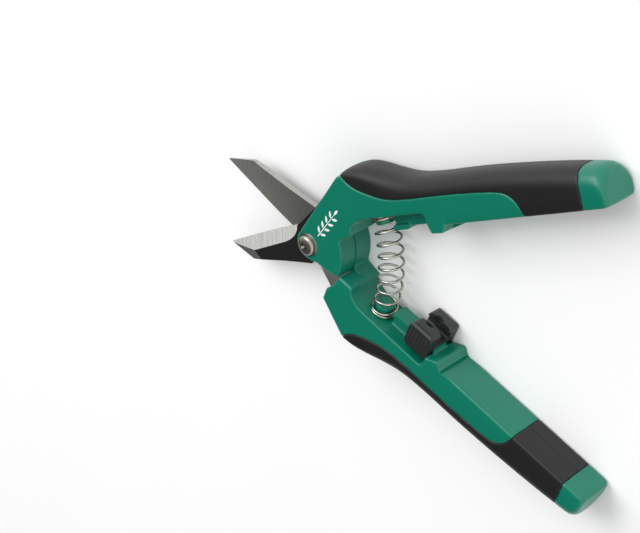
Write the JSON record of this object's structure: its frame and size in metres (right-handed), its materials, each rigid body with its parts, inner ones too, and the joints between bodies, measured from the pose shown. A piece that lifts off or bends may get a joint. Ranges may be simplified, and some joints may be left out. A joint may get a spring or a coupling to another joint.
{
  "type": "bypass pruner",
  "caption": "Hand snips with narrow bypass blades, green nylon handles with black soft grips, a return spring and a sliding lock.",
  "frame": {"origin": "on the pivot axis, in the plane of the far faces that the tool lies on", "axes": "+X from the pivot towards the handles, midway between them; +Y towards the front handle; +Z along the pivot axis to the screw head"},
  "size_m": [0.1583, 0.1162, 0.0166],
  "materials": {
    "green_nylon": "satin moulded",
    "soft_grip": "smooth soft-touch",
    "black_plastic": "satin moulded",
    "blade_steel": "ground, partly black coated",
    "bright_steel": "bright zinc",
    "spring_steel": "polished wire"
  },
  "bodies": {
    "front_half": {"front_handle_core": "green_nylon", "front_handle_grip": "soft_grip", "front_blade": "blade_steel", "pivot_screw": "bright_steel", "pivot_sleeve": "bright_steel", "front_washer": "bright_steel", "rear_washer": "bright_steel", "pivot_nut": "bright_steel", "return_spring": "spring_steel"},
    "rear_half": {"rear_handle_core": "green_nylon", "rear_handle_grip": "soft_grip", "rear_blade": "blade_steel"},
    "lock": {"lock_slide": "black_plastic"}
  },
  "joints": [
    {"name": "handle_pivot", "type": "hinge", "parent": "front_half", "child": "rear_half", "pos_m": [0, 0, 0], "axis": [0, 0, 1], "range_deg": [0, 43], "stiffness_Nm_per_rad": 0.5, "springref_deg": -17.19, "deforming": ["return_spring"]},
    {"name": "lock_travel", "type": "slide", "parent": "rear_half", "child": "lock", "axis": [-0.9259, 0.3778, 0], "range_m": [0, 0.006]}
  ]
}
